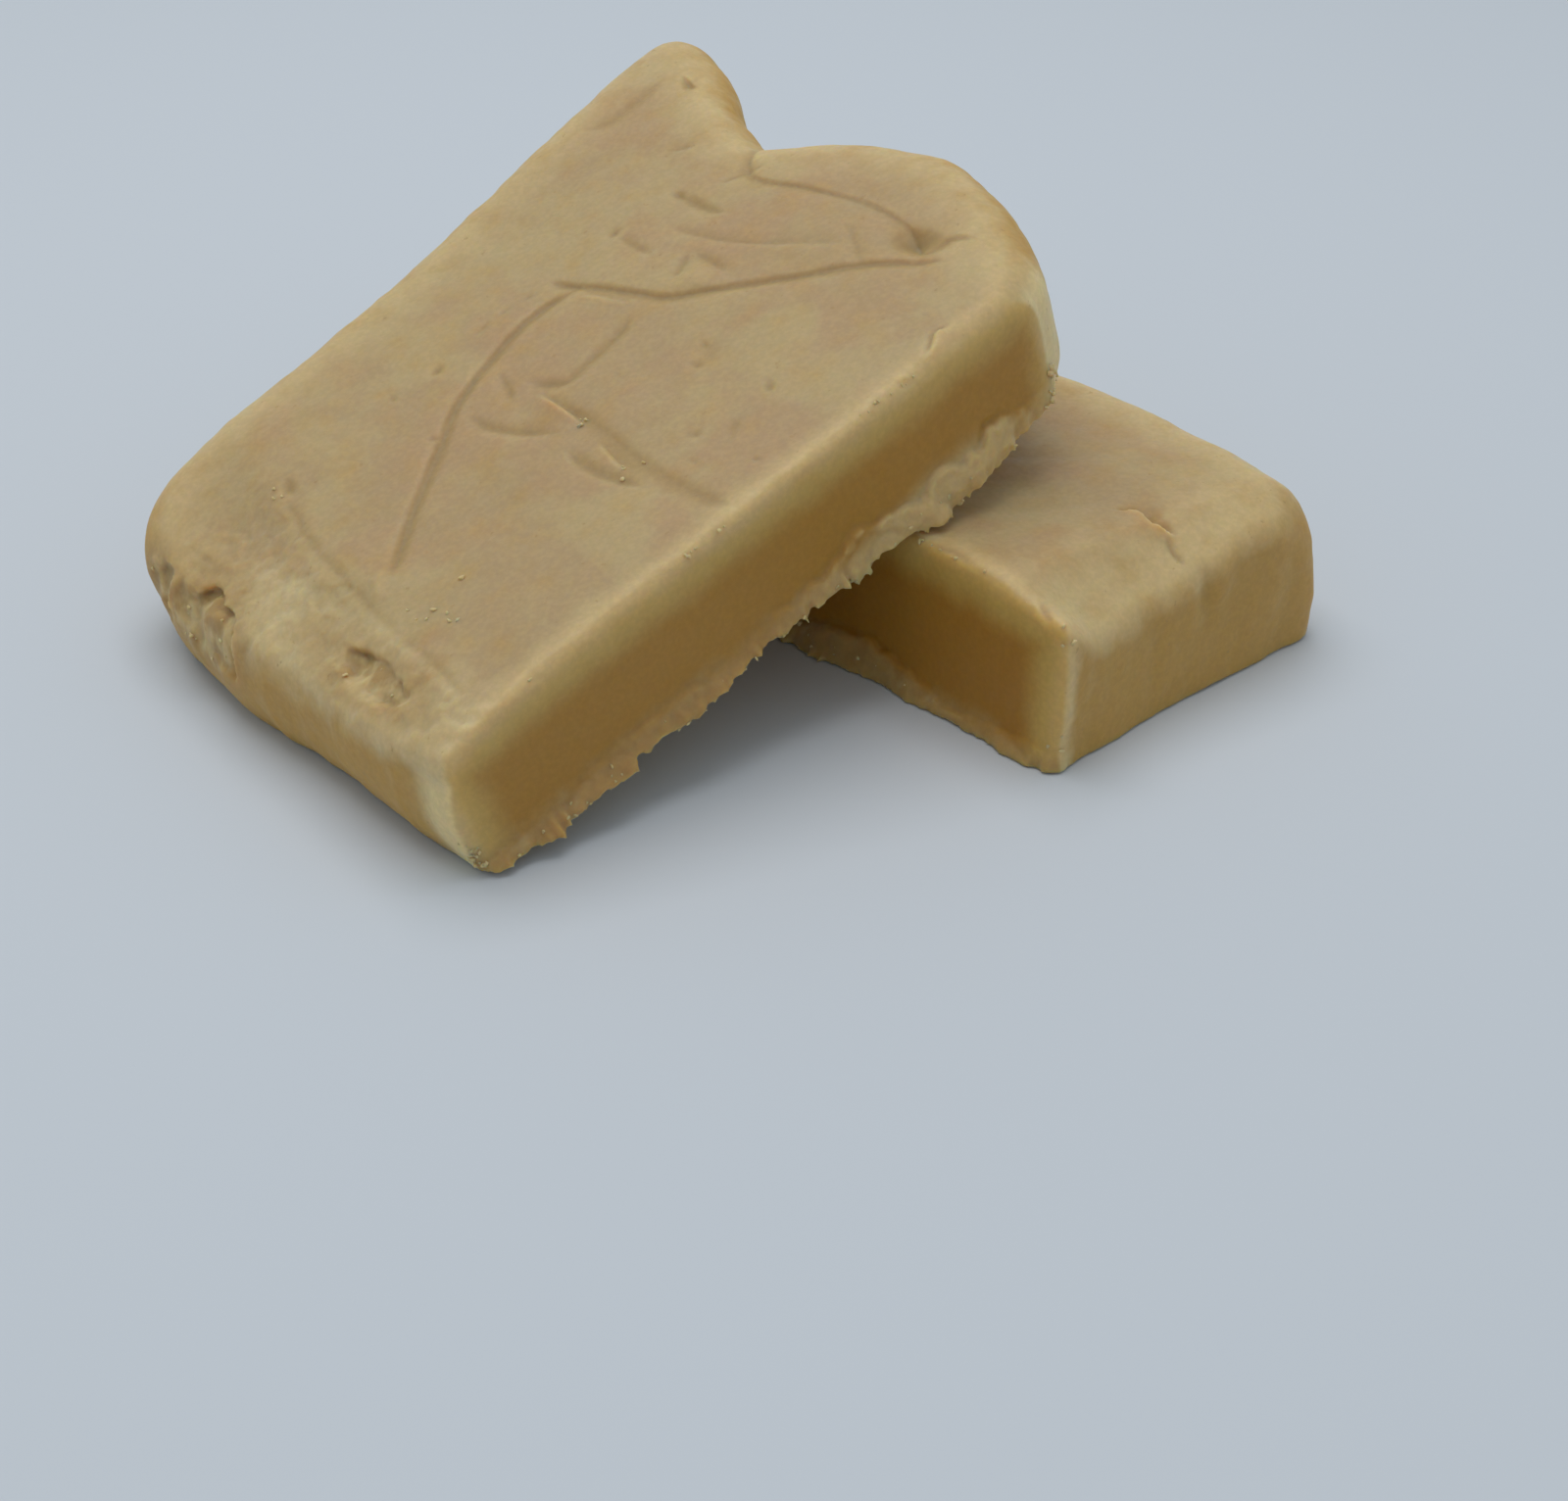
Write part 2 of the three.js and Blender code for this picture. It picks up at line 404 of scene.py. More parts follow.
def skirt(along, z, seed, reach, rise, lips):
    """How far the burr stands out from a cut, over the cut's plane: a crumbly lip, with a groove above it
    here and there, which flares towards the underside. reach and rise are its sizes along the cut, and lips
    is how sharply the lip stands out there."""
    up = np.maximum(z, 0)[None, :]
    reach, rise, lips = reach[:, None], rise[:, None], lips[:, None]
    gate = np.clip(reach, 0, 1)
    lip_top = 0.95 + 0.40 * noise([along], 8, seed + 6) + 0.20 * noise([along], 2.4, seed + 7)
    lip_top = rise * lip_top[:, None]
    lip = smoothstep(lip_top + 0.25, lip_top - 0.25, up)
    groove = np.clip(0.4 + noise([along], 13, seed + 10), 0, 1)[:, None]
    out = 0.9 * reach * np.exp(-((up / rise) ** 1.7)) + (0.25 + 0.25 * reach) * gate * lip * lips
    out -= 0.35 * gate * groove * lips * np.exp(-(((up - lip_top - 0.5) / 0.5) ** 2))
    crust = 0.24 * smoothstep(-0.15, 0.15, noise([along, z], 3.0, seed + 8))
    crust = crust + 0.16 * noise([along, z], 1.4, seed + 9)
    out += gate * lip * crust * (0.5 + 0.5 * lips)
    return out + gate * 0.95 * ragged(along, seed)[:, None] * np.exp(-((up / 1.3) ** 2))


def tear(field, axes, centre, tilt, spread, depth, rim, seed):
    """Breaks a shallow patch with soft folds out of the near end, where the surface leans back by tilt
    degrees. rim is how soft its rim is on the uphill side, and it fades out below."""
    reach = max(spread) + 3
    part = tuple(slice(*np.searchsorted(axis, (c - reach, c + reach))) for axis, c in zip(axes, centre))
    around = [axis[s] for axis, s in zip(axes, part)]
    x, y, z = (axis.reshape(shape) for axis, shape in zip(around, ((-1, 1, 1), (1, -1, 1), (1, 1, -1))))
    c, s = math.cos(math.radians(tilt)), math.sin(math.radians(tilt))
    across = (y - centre[1]) / spread[0]
    uphill = ((z - centre[2]) * c + (x - centre[0]) * s) / spread[1]
    wander = 0.20 * noise(around, 4.0, seed) + 0.10 * noise(around, 1.8, seed + 1)
    rim_width = rim + 0.6 * smoothstep(0.1, -0.8, uphill - 0.6 * across)
    inside = smoothstep(0, 1, (1.05 - np.hypot(across, uphill) - wander) / rim_width)
    upright = [around[0], around[1], around[2] / 2.5]
    folds = smoothstep(-0.45, 0.35, noise(upright, 5.0, seed + 2))
    small_folds = smoothstep(-0.2, 0.2, noise(upright, 2.4, seed + 3))
    crystals = 0.06 * noise(around, 1.5, seed + 4) + 0.04 * noise(around, 0.9, seed + 5)
    field[part] += inside * (depth * (1 - 0.45 * folds - 0.10 * small_folds) + crystals)


# Where the upper bar's near end broke when it left the pan: middle, tilt, half width and height, depth,
# softness of the rim, and seed.
UPPER_TEARS = [
    ((1.0, 49.6, 10.7), 34, (7.8, 4.6), 1.7, 0.20, 61),
    ((5.4, 18.5, 15.5), 64, (7.8, 2.2), 1.25, 0.30, 75),
    ((2.6, 61.5, 9.0), 34, (4.6, 4.4), 1.6, 0.45, 67),
]


def upper_field(axes):
    y, z = axes[1][None, :, None], axes[2][None, None, :]
    plan_x, plan_y = axes[0][:, None], axes[1][None, :]
    outline = np.vstack([
        [(88, -WASTE), (-0.2, -WASTE)],
        smooth_path([
            (0, 0), (-0.6, 10), (-0.9, 26), (-0.9, 42), (-0.8, 51), (0.2, 58.5), (2.4, 65.8), (6.3, 71),
            (13, 74.6), (21, 76), (32, 77), (48, 79.4), (70, 83.5), (90, 87.4), (101, 89.4), (106.6, 89.2),
            (110, 86.7), (UPPER_LENGTH - 1, 82), (107.4, 73), (102.8, 65), (99, 56.4), (98.2, 53.4),
            (99.6, 51), (101.4, 48), (104.8, 41.6), (107, 33.4), (106.6, 25), (103.4, 16), (98.4, 7), (94, 0),
        ]),
    ])
    distance = signed_outline(outline, plan_x, plan_y)

    # The top slopes down to the near end in a broad chamfer, which fades out in the bulging left corner.
    slope_start = 9.2 + 0.10 * plan_y + 0.0012 * np.minimum(plan_y, 56) ** 2
    into_slope = np.logaddexp(0, (slope_start - plan_x) / 0.6) * 0.6
    steepness = 0.26 + 0.10 * smoothstep(0, 10, plan_y) - 0.08 * smoothstep(20, 45, plan_y)
    steepness = steepness - 0.20 * smoothstep(52, 72, plan_y)
    creases = creased(axes, UPPER_CREASES, UPPER_DENTS)
    top = UPPER_TOP_FOOT + UPPER_TOP_RISE * smoothstep(55, 92, plan_x) - steepness * into_slope
    scaly = smoothstep(1, -1.5, plan_x - slope_start) * smoothstep(64, 54, plan_y)
    top = top + scaly * scales(axes[:2], 21)
    top = top + creases + grain(axes[:2], 11)

    near_end = smoothstep(10, 2, plan_x) * smoothstep(66, 52, plan_y)
    edge_radius = 6.8 - 4.6 * near_end
    bulge = 0.035 * (axes[2] - 5.5) ** 2
    side = distance[:, :, None] - side_waves(axes, 31) + near_end[:, :, None] * np.minimum(bulge, 1.4)
    body = rounded_meet(side, z - top[:, :, None], edge_radius[:, :, None])

    along = axes[0]
    reach = stations(along, [
        (-1, 0.2), (3, 1.1), (8, 1.6), (33, 1.5), (41, 0.7), (60, 0.8), (67, 2.0), (78, 2.2), (84, 0.6),
        (93, 0.2), (96, 0),
    ])
    rise = stations(along, [(0, 1.8), (20, 1.7), (38, 2.0), (48, 2.8), (62, 3.0), (75, 3.8), (86, 2.6)])
    lips = stations(along, [(5, 0.25), (38, 0.3), (52, 0.9), (84, 1.0), (92, 0.3)])
    waves = 0.16 * noise([axes[0], axes[2]], 18, 41) + 0.05 * noise([axes[0], axes[2]], 5, 42)
    out = waves + skirt(along, axes[2], 51, reach, rise, lips)
    rough = 0.17 * noise(axes, 1.6, 47) + 0.10 * noise(axes, 0.9, 48)
    cut = -y - out[:, None, :] + rough * np.exp(-np.maximum(z, 0) / 2.2)
    cut_radius = 1.6 + 0.4 * noise([along], 5, 43) + 1.5 * smoothstep(60, 84, along)
    cut_radius = cut_radius + 3.6 * smoothstep(86, 95, along)
    body = rounded_meet(body, cut, np.clip(cut_radius, 0.25, None)[:, None, None])

    # Under the burr the underside hangs down a little, where the floor leaves room for it.
    room = np.clip(0.24 * (along - 2.5), 0, 1.3)
    drips = 0.35 + 0.45 * noise([along], 8, 46)
    drips = drips + 0.12 * noise([along], 2.1, 49) + 0.14 * noise([along], 1.0, 50)
    teeth = ridged(1.6 * noise([along], 2.3, 52)) * smoothstep(0.2, 0.6, noise([along], 6, 53))
    hang = room * np.clip(drips + 0.7 * teeth, 0, 1.2)
    under = 0.12 + 0.12 * noise(axes[:2], 10, 44) + 0.05 * noise(axes[:2], 2.5, 45)
    lowest = under[:, :, None] - hang[:, None, None] * smoothstep(0.1, 1.5, -y)
    under_radius = 0.15 + 3.3 * smoothstep(86, 96, along)
    underside = lowest - z + 0.6 * rough * smoothstep(-0.5, 1.0, -y)
    field = rounded_meet(body, underside, under_radius[:, None, None])

    for place in UPPER_TEARS:
        tear(field, axes, *place)
    plan = {"outline": distance, "top": top, "creases": creases, "tears": UPPER_TEARS, "cut_axis": 1}
    return field, plan


def lower_field(axes):
    x, z = axes[0][:, None, None], axes[2][None, None, :]
    plan_x, plan_y = axes[0][:, None], axes[1][None, :]
    width, length = LOWER_WIDTH, LOWER_LENGTH
    outline = np.vstack([
        [(-WASTE, length), (-WASTE, -0.2)],
        smooth_path([
            (0, 0), (12, 1.4), (24, 1.9), (35, 2.3), (44, 3.1), (47.4, 4.8), (48.8, 8.4), (49.6, 16),
            (width, 34), (width + 0.2, 54), (width - 0.5, 75), (width - 4, 86), (width - 12, 91),
            (20, length + 0.4), (0, length),
        ]),
    ])
    distance = signed_outline(outline, plan_x, plan_y)

    # The top slopes down to the near end in a broad chamfer, which fades out towards the cut.
    slope_start = 10.6 - 0.10 * np.clip(plan_x - 18, 0, None)
    into_slope = np.logaddexp(0, (slope_start - plan_y) / 0.5) * 0.5
    steepness = 0.16 + 0.46 * smoothstep(0, 8, plan_x) - 0.32 * smoothstep(16, 46, plan_x)
    creases = creased(axes, LOWER_CREASES, LOWER_DENTS)
    top = LOWER_THICKNESS - LOWER_TOP_DROP + 0.2 * smoothstep(20, 5, plan_x) - steepness * into_slope
    top = top + creases + 0.8 * grain(axes[:2], 111)

    near_end = smoothstep(9, 3, plan_y)
    near_corner = smoothstep(22, 10, plan_y)
    edge_radius = 4.6 - 2.6 * near_end * smoothstep(48, 34, plan_x)
    edge_radius = edge_radius + smoothstep(38, 46, plan_x) * (0.6 + 2.0 * near_corner)
    spread = 0.14 * smoothstep(40, 48, plan_x) * smoothstep(40, 20, plan_y)
    bumps = side_waves(axes, 131) + 0.3 * noise(axes, 13, 135)
    side = distance[:, :, None] - bumps - spread[:, :, None] * np.clip(16 - z, 0, 10)
    fold = np.exp(-(((x - 26 - 0.25 * (15 - z)) / 1.7) ** 2)) * smoothstep(5, 13, z)
    side = side + 0.55 * fold * near_end[:, :, None]
    body = rounded_meet(side, z - top[:, :, None], edge_radius[:, :, None])

    along = axes[1]
    reach = stations(along, [
        (-1, 0.3), (4, 1.0), (10, 1.5), (27, 1.7), (36, 3.0), (46, 3.5), (80, 3.0), (90, 1.0), (93, 0),
    ])
    rise = stations(along, [(0, 2.0), (20, 2.4), (34, 3.0), (60, 3.2), (90, 2.0)])
    lips = stations(along, [(0, 0.4), (26, 0.6), (40, 1.0)])
    waves = 0.14 * noise([axes[1], axes[2]], 18, 141) + 0.05 * noise([axes[1], axes[2]], 5, 142)
    out = waves + 0.8 * skirt(along, axes[2], 151, reach, rise, lips)
    rough = 0.15 * noise(axes, 1.6, 147) + 0.08 * noise(axes, 0.9, 148)
    cut = -x - out[None, :, :] + rough * np.exp(-np.maximum(z, 0) / 2.2)
    cut_radius = np.clip(1.6 + 0.5 * noise([along], 5, 143), 0.4, None)
    body = rounded_meet(body, cut, cut_radius[None, :, None])
    under = 0.15 + 0.10 * noise(axes[:2], 10, 144) + 0.04 * noise(axes[:2], 2.5, 145)
    field = rounded_meet(body, under[:, :, None] - z, 0.3)
    plan = {"outline": distance, "top": top, "creases": creases, "tears": [], "cut_axis": 0}
    return field, plan


# ---- Meshes ----


def sample_plan(plan, axes, x, y):
    """Reads a value that is known over the plan at scattered places."""
    step = axes[0][1] - axes[0][0]
    u = np.clip((x - axes[0][0]) / step, 0, plan.shape[0] - 1.001)
    v = np.clip((y - axes[1][0]) / step, 0, plan.shape[1] - 1.001)
    i, j = u.astype(int), v.astype(int)
    a, b = u - i, v - j
    lower = plan[i, j] * (1 - b) + plan[i, j + 1] * b
    upper = plan[i + 1, j] * (1 - b) + plan[i + 1, j + 1] * b
    return lower * (1 - a) + upper * a


def torn_distance(points, tears):
    """Rough distance of scattered points from the rim of the nearest tear, negative inside it."""
    nearest = np.full(len(points), 99.0)
    for centre, tilt, spread, *_ in tears:
        c, s = math.cos(math.radians(tilt)), math.sin(math.radians(tilt))
        x, y, z = (points - np.array(centre)).T
        away = np.hypot(y / spread[0], (z * c + x * s) / spread[1])
        nearest = np.where(np.abs(x * c - z * s) < 5, np.minimum(nearest, (away - 1) * min(spread)), nearest)
    return nearest


def mesh_object(name, points, faces):
    mesh = bpy.data.meshes.new(name)
    mesh.from_pydata(points.tolist(), [], faces.tolist())
    mesh.update()
    shown = bpy.data.objects.new(name, mesh)
    bpy.context.scene.collection.objects.link(shown)
    return shown


def thin_out(shown):
    """Merges small triangles where the surface is flat, down to the triangle limit."""
    triangles = 2 * len(shown.data.polygons)
    if triangles <= TRIANGLE_LIMIT:
        return
    modifier = shown.modifiers.new("thin_out", "DECIMATE")
    modifier.ratio = TRIANGLE_LIMIT / triangles
    evaluated = shown.evaluated_get(bpy.context.evaluated_depsgraph_get())
    mesh = bpy.data.meshes.new_from_object(evaluated)
    shown.modifiers.clear()
    shown.data = mesh


def bar(name, make_field, low, high, placing):
    """One bar: its mesh at its place in the stack, with the values that its material reads."""
    axes = grid_axes(low, high)
    field, plan = make_field(axes)
    points, quads = largest_piece(*surface_of(field, axes))
    shown = mesh_object(name, points, quads)
    thin_out(shown)
    mesh = shown.data

    local = np.empty(len(mesh.vertices) * 3, np.float32)
    mesh.vertices.foreach_get("co", local)
    local = local.reshape(-1, 3)
    x, y, z = local.T
    values = {
        "rim_mm": -sample_plan(plan["outline"], axes, x, y),
        "behind_cut_mm": local[:, plan["cut_axis"]],
        "below_top_mm": sample_plan(plan["top"], axes, x, y) - z,
        "crease_mm": -sample_plan(plan["creases"], axes, x, y),
        "torn_mm": torn_distance(local, plan["tears"]),
        "from_end_mm": local[:, 1 - plan["cut_axis"]],
    }
    for key, value in values.items():
        attribute = mesh.attributes.new(key, "FLOAT", "POINT")
        attribute.data.foreach_set("value", value.astype(np.float32))
    attribute = mesh.attributes.new("local_mm", "FLOAT_VECTOR", "POINT")
    attribute.data.foreach_set("vector", local.ravel())

    mesh.transform(placing @ Matrix.Scale(MM, 4))
    mesh.polygons.foreach_set("use_smooth", [True] * len(mesh.polygons))
    mesh.update()
    return shown


# ---- Loose crumbs ----


def pebble(random, centre, radius):
    """Points and triangles of one small lumpy crumb."""
    ball = bmesh.new()
    bmesh.ops.create_icosphere(ball, subdivisions=2, radius=1)
    points = np.array([v.co[:] for v in ball.verts])
    faces = np.array([[v.index for v in face.verts] for face in ball.faces])
    ball.free()
    for _ in range(3):
        way = random.normal(size=3)
        way /= np.linalg.norm(way)
        waves, start = random.uniform(2, 4), random.uniform(0, 6)
        points = points * (1 + 0.28 * np.sin(waves * (points @ way) + start))[:, None]
    return centre + points * random.uniform(0.7, 1.2, 3) * radius, faces


def crumbs(name, bar_object, groups, seed, placing):
    """Crumbs that stick to a bar. Each group is (which points of the bar's mesh, how many, middle radius)."""
    random = np.random.default_rng(seed)
    mesh = bar_object.data
    local = np.empty(len(mesh.vertices) * 3, np.float32)
    mesh.attributes["local_mm"].data.foreach_get("vector", local)
    local = local.reshape(-1, 3)
    values = {}
    for key in ("behind_cut_mm", "below_top_mm", "torn_mm"):
        values[key] = np.empty(len(mesh.vertices), np.float32)
        mesh.attributes[key].data.foreach_get("value", values[key])
    points, faces, start = [], [], 0
    for choose, count, radius in groups:
        places = np.flatnonzero(choose(local, **values))
        for place in random.choice(places, count, replace=False):
            size = radius * random.lognormal(0, 0.35)
            crumb_points, crumb_faces = pebble(random, local[place], size)
            points.append(crumb_points)
            faces.append(crumb_faces + start)
            start += len(crumb_points)
    shown = mesh_object(name, np.vstack(points), np.vstack(faces))
    shown.data.transform(placing @ Matrix.Scale(MM, 4))
    shown.data.polygons.foreach_set("use_smooth", [True] * len(shown.data.polygons))
    shown.data.update()
    return shown


def near(points, x, y, reach):
    """The points that lie within reach of a place in plan."""
    return np.hypot(points[:, 0] - x, points[:, 1] - y) < reach


def between(values, low, high):
    return (values > low) & (values < high)


# Each group: which points of the bar's mesh, how many crumbs, and their middle radius.
UPPER_CRUMBS = [
    # loose on the top, and on the edge of the raised flake
    (lambda p, below_top_mm, **_: (below_top_mm < 0.3) & near(p, 17, 19, 5), 8, 0.20),
    (lambda p, below_top_mm, **_: (below_top_mm < 0.3) & near(p, 43, 17, 1.8), 4, 0.26),
    (lambda p, below_top_mm, **_: (below_top_mm < 0.3) & near(p, 45.2, 29, 1.2), 4, 0.26),
    (lambda p, below_top_mm, **_: (below_top_mm < 0.3) & near(p, 17.5, 53.5, 1.2), 3, 0.22),
    # along the edge of the burr
    (lambda p, behind_cut_mm, **_: (behind_cut_mm < -1.0) & between(p[:, 2], -0.8, 2.5), 50, 0.15),
    # along the top edge of the cut
    (
        lambda p, behind_cut_mm, below_top_mm, **_: (abs(behind_cut_mm) < 0.6) & (below_top_mm < 0.6)
        & (between(p[:, 0], 33, 43) | (abs(p[:, 0] - 16) < 3) | (p[:, 0] > 62)),
        16,
        0.15,
    ),
    # at the foot's corner
    (
        lambda p, behind_cut_mm, **_: (abs(behind_cut_mm) < 1.6) & between(p[:, 0], -0.5, 1.6)
        & between(p[:, 2], 0.6, 6),
        14,
        0.24,
    ),
    # in the broken places
    (lambda p, torn_mm, **_: torn_mm < -0.2, 16, 0.18),
    # at the far end of the cut
    (lambda p, behind_cut_mm, **_: (behind_cut_mm < 3) & (p[:, 0] > 88) & between(p[:, 2], 0.5, 5), 12, 0.26),
]
LOWER_CRUMBS = [
    # along the edge of the burr
    (lambda p, behind_cut_mm, **_: (behind_cut_mm < -0.8) & between(p[:, 2], 0.5, 2.5), 36, 0.16),
    # along the top edge of the cut
    (
        lambda p, behind_cut_mm, below_top_mm, **_: (abs(behind_cut_mm) < 0.7) & (below_top_mm < 0.7),
        24,
        0.18,
    ),
    # on the cut's near corner
    (lambda p, behind_cut_mm, **_: (abs(behind_cut_mm) < 1.5) & (p[:, 1] < 3) & (p[:, 2] > 1.5), 6, 0.22),
]


# ---- Materials ----


class Nodes:
    """Adds nodes to a material and joins them."""

    def __init__(self, name):
        self.material = bpy.data.materials.new(name)
        self.material.use_nodes = True
        self.tree = self.material.node_tree
        self.shader = self.tree.nodes["Principled BSDF"]

    def add(self, kind, inputs=(), **settings):
        node = self.tree.nodes.new(kind)
        for key, value in settings.items():
            setattr(node, key, value)
        for key, value in dict(inputs).items():
            self.put(node.inputs[key], value)
        return node

    def put(self, socket, value):
        if isinstance(value, bpy.types.NodeSocket):
            self.tree.links.new(value, socket)
        else:
            socket.default_value = value

    def attribute(self, name):
        return self.add("ShaderNodeAttribute", attribute_name=name)

    def math(self, operation, a, b=0.0):
        return self.add("ShaderNodeMath", {0: a, 1: b}, operation=operation).outputs[0]

    def ramp(self, value, low, high, start=0.0, end=1.0):
        inputs = {"Value": value, "From Min": low, "From Max": high, "To Min": start, "To Max": end}
        node = self.add("ShaderNodeMapRange", inputs, interpolation_type="SMOOTHSTEP")
        return node.outputs["Result"]

    def noise(self, vector, scale, detail=3.0, roughness=0.55, distortion=0.0):
        inputs = {"Vector": vector, "Scale": scale, "Detail": detail, "Roughness": roughness,
                  "Distortion": distortion}
        return self.add("ShaderNodeTexNoise", inputs).outputs["Fac"]

    def mix(self, factor, a, b):
        node = self.add("ShaderNodeMix", data_type="RGBA")
        self.put(node.inputs[0], factor)
        self.put(node.inputs[6], a)
        self.put(node.inputs[7], b)
        return node.outputs[2]


TAN = (0.49, 0.338, 0.162, 1)  # the top skin, away from the rims
PINK_TAN = (0.50, 0.325, 0.16, 1)
STRAW = (0.53, 0.385, 0.182, 1)  # drier patches
CREAM = (0.66, 0.487, 0.228, 1)  # the moulded rims
FROST = (0.69, 0.54, 0.285, 1)  # the dry skin of the near end
IVORY = (0.84, 0.67, 0.34, 1)  # the driest skin, beside the cut
HONEY_AND_BOUNCE = (0.54, 0.315, 0.078, 1)  # the moulded sides, with painted yellow bounce light from below in their colour
AMBER_AND_SHADE = (0.44, 0.275, 0.10, 1)  # painted shade in the creases and around the tears, and the real amber of flecks and broken places
BUTTER = (0.65, 0.44, 0.14, 1)  # the cut, just under the skin
CARAMEL = (0.48, 0.25, 0.046, 1)  # the moist inside, on the cut
SHADED_BUTTER = (0.60, 0.39, 0.10, 1)  # the same two on the lower bar, darker and more saturated: painted shade and yellow bounce light
SHADED_CARAMEL = (0.43, 0.20, 0.022, 1)
CRUMB = (0.48, 0.30, 0.105, 1)  # the burr and the broken places
FLECK = (0.66, 0.49, 0.24, 1)  # dry sugary crumbs


def fudge(name, under_skin, inside_colour, ivory_width, dryness):
    """Waxy fudge: a pale dry skin over a darker, moist inside that light passes into. ivory_width is how far
    the driest skin reaches along the near end from the cut. dryness, 0 to 1, is how pale the near end and the
    cut's rim are."""
    n = Nodes(name)
    local = n.attribute("local_mm").outputs["Vector"]
    rim = n.attribute("rim_mm").outputs["Fac"]
    behind = n.attribute("behind_cut_mm").outputs["Fac"]
    below_top = n.attribute("below_top_mm").outputs["Fac"]
    crease = n.attribute("crease_mm").outputs["Fac"]
    torn = n.attribute("torn_mm").outputs["Fac"]
    from_end = n.attribute("from_end_mm").outputs["Fac"]
    height = n.add("ShaderNodeSeparateXYZ", {0: local}).outputs["Z"]
    wobble = n.math("SUBTRACT", n.noise(local, 0.22, 4), 0.5)

    # The skin: mottled tan in the middle, cream towards the rims and down the sides.
    patches = n.ramp(n.noise(local, 0.05, 4, 0.6, 0.6), 0.38, 0.62)
    blush = n.ramp(n.noise(local, 0.09, 3, 0.5, 0.3), 0.45, 0.65)
    skin = n.mix(patches, TAN, STRAW)
    skin = n.mix(n.math("MULTIPLY", blush, 0.8), skin, PINK_TAN)
    edge = n.math("MINIMUM", rim, n.math("MULTIPLY", behind, 3.0))
    rim_wobble = n.math("ADD", edge, n.math("MULTIPLY", wobble, 9.0))
    skin = n.mix(n.ramp(rim_wobble, 14.0, 1.5, 0.0, 0.9), skin, CREAM)
    frost = n.ramp(n.math("ADD", from_end, n.math("MULTIPLY", wobble, 6.0)), 13.0, 7.0, 0.0, 0.7 * dryness)
    frost = n.math("MULTIPLY", frost, n.ramp(behind, 52.0, 38.0))
    skin = n.mix(frost, skin, FROST)
    down = n.math("ADD", below_top, n.math("MULTIPLY", wobble, 5.0))
    away = n.math("ADD", behind, n.math("MULTIPLY", wobble, 4.0))
    away = n.math("DIVIDE", away, ivory_width)
    dry = n.math("MULTIPLY", n.ramp(away, 0.85, 0.3), n.ramp(below_top, 1.5, 4.0, 0.0, dryness))
    skin = n.mix(dry, skin, IVORY)
    # Painted yellow bounce light: the sides below the top skin turn honey.
    low = n.math("MULTIPLY", n.ramp(down, -0.5, 3.4), n.ramp(away, 0.3, 0.9, 0.1, 1.0))
    skin = n.mix(low, skin, HONEY_AND_BOUNCE)
    on_top = n.ramp(below_top, 1.8, 1.0)
    # Painted shade in the creases: their bottoms turn amber.
    crease_shade = n.math("MULTIPLY", n.ramp(crease, 0.05, 0.45, 0.0, 0.65), on_top)
    skin = n.mix(crease_shade, skin, AMBER_AND_SHADE)
    spots = n.ramp(n.noise(local, 0.8, 2, 0.6), 0.68, 0.76, 0.0, 0.6)
    skin = n.mix(spots, skin, AMBER_AND_SHADE)

    # The cut: cream at the skin, then butter, then caramel in the middle, and pale again on the burr. The
    # pale band under the skin is partly drier skin and partly a painted glow of light through the edge, and
    # the darker middle is partly painted shade.
    depth = n.math("MINIMUM", rim, below_top)
    depth = n.math("ADD", depth, n.math("MULTIPLY", wobble, 2.5))
    cut_colour = n.mix(n.ramp(depth, 0.4, 3.0, 0.9 * (1.0 - dryness), 1.0), CREAM, under_skin)
    cut_colour = n.mix(n.ramp(depth, 2.0, 7.2), cut_colour, inside_colour)
    burr_height = n.math("ADD", height, n.math("MULTIPLY", wobble, 4.0))
    low_on_cut = n.ramp(burr_height, 3.8, 0.8, 0.0, 0.8)
    on_burr = n.math("MAXIMUM", low_on_cut, n.ramp(behind, -0.3, -1.0, 0.0, 0.95))
    crust = n.mix(n.ramp(n.noise(local, 0.25, 4, 0.6), 0.56, 0.80), CRUMB, STRAW)
    crust = n.mix(n.ramp(from_end, 40.0, 62.0, 0.0, 0.75), crust, CREAM)
    cut_colour = n.mix(on_burr, cut_colour, crust)
    inside = n.ramp(n.math("ADD", behind, wobble), 0.9, 0.3)
    # Painted shadow around the tears: the skin turns amber near their rims.
    skin = n.mix(n.ramp(torn, 3.5, 0.3, 0.0, 0.55), skin, AMBER_AND_SHADE)
    colour = n.mix(inside, skin, cut_colour)
    broken = n.mix(n.ramp(n.noise(local, 0.25, 3, 0.5), 0.40, 0.58), AMBER_AND_SHADE, CREAM)
    colour = n.mix(n.ramp(torn, 0.8, -0.8, 0.0, 0.8), colour, broken)

    speckle = n.ramp(n.noise(local, 1.3, 5, 0.62), 0.35, 0.7, 0.94, 1.04)
    tint = n.add("ShaderNodeVectorMath", {0: colour, 1: speckle}, operation="MULTIPLY")
    n.put(n.shader.inputs["Base Color"], tint.outputs[0])

    rough = n.ramp(n.noise(local, 0.35, 4, 0.6), 0.3, 0.7, 0.42, 0.60)
    n.put(n.shader.inputs["Roughness"], rough)
    n.shader.inputs["Subsurface Weight"].default_value = 1.0
    n.shader.inputs["Subsurface Radius"].default_value = (1.0, 0.55, 0.22)
    n.shader.inputs["Subsurface Scale"].default_value = 0.0035
    n.shader.inputs["IOR"].default_value = 1.45
    n.shader.inputs["Specular IOR Level"].default_value = 0.4

    fine = n.noise(local, 2.2, 4, 0.6)
    coarse = n.noise(local, 0.7, 3, 0.5)
    relief = n.math("ADD", n.math("MULTIPLY", fine, 0.35), coarse)
    bump = n.add("ShaderNodeBump", {"Height": relief, "Strength": 0.35, "Distance": 0.00010})
    n.put(n.shader.inputs["Normal"], bump.outputs[0])
    return n.material


